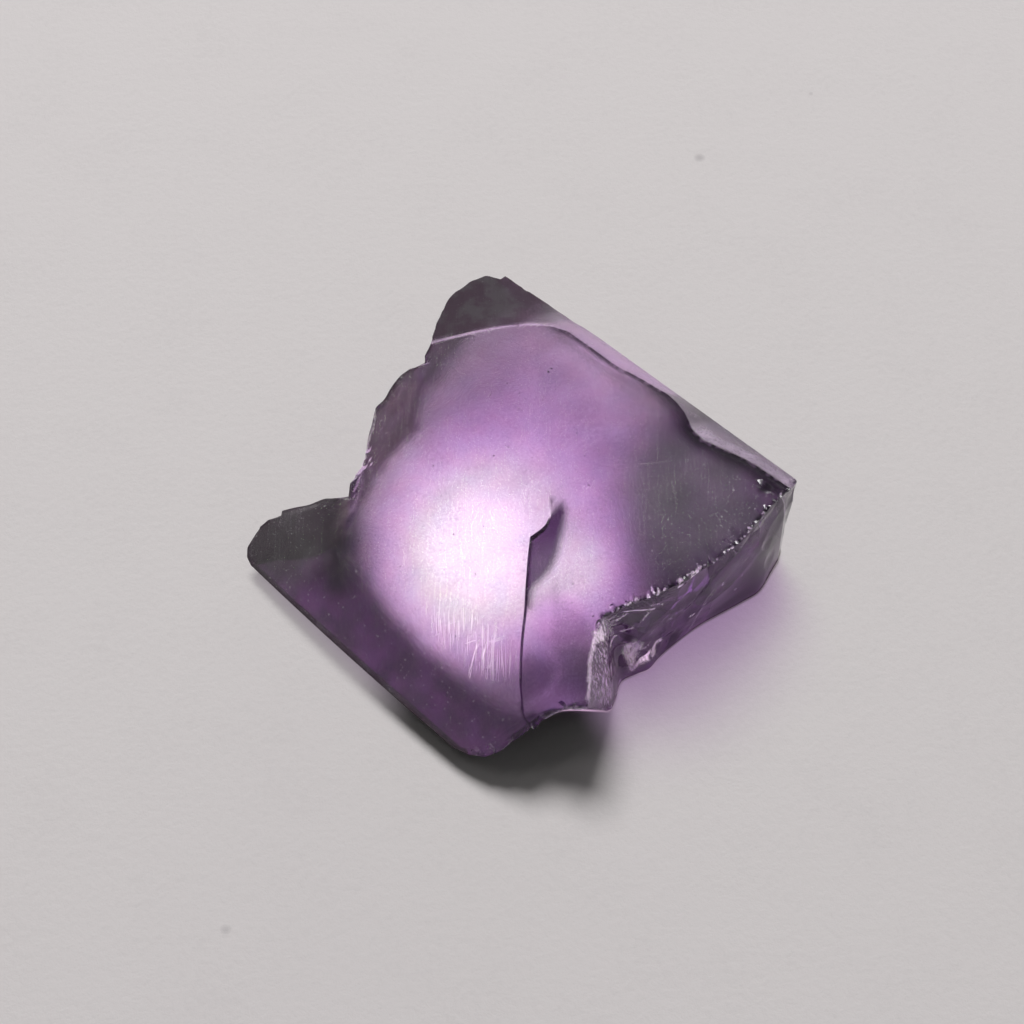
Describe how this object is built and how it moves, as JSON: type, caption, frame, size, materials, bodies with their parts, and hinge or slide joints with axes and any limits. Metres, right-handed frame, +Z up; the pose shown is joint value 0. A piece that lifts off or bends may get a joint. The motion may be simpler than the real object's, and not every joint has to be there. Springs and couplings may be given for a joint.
{
  "type": "rough alexandrite",
  "caption": "Broken chunk of see-through purple crystal with a rounded satin top, saw-cut sides and shell-shaped breaks.",
  "frame": {"origin": "centre of the stone's footprint, on the surface it lies on", "axes": "+Z up, out of the rounded top; +X from the thin left tip towards the saw-cut right corner; +Y from the low front tip towards the high back lobe"},
  "size_m": [0.0242, 0.0228, 0.0065],
  "materials": {
    "crystal": "satin rounded skin, glossy breaks"
  },
  "bodies": {
    "root": {"alexandrite_crystal": "crystal"}
  },
  "joints": []
}
